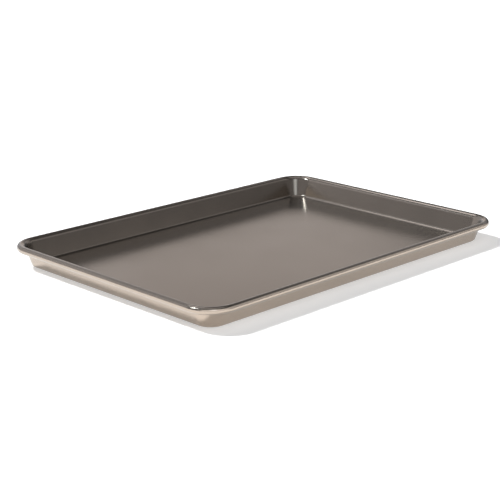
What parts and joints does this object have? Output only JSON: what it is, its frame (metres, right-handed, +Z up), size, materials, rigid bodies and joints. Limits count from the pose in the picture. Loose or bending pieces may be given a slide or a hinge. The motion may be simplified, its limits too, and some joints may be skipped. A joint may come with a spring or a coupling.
{
  "type": "quarter sheet pan",
  "caption": "Shallow rectangular baking sheet pan with rounded corners, sloped walls and a round rolled rim stiffened by a wire hidden inside it.",
  "frame": {"origin": "middle of the floor's underside, on the surface that the pan stands on", "axes": "+X along the long side, +Y along the short side, +Z up out of the pan"},
  "size_m": [0.345, 0.241, 0.019],
  "materials": {
    "champagne_coat": "champagne metallic non-stick coat on steel, satin, inside and out",
    "drawn_steel": "bright drawn steel wire"
  },
  "bodies": {
    "root": {"pan_body": "champagne_coat", "rim_wire": "drawn_steel"}
  },
  "joints": []
}
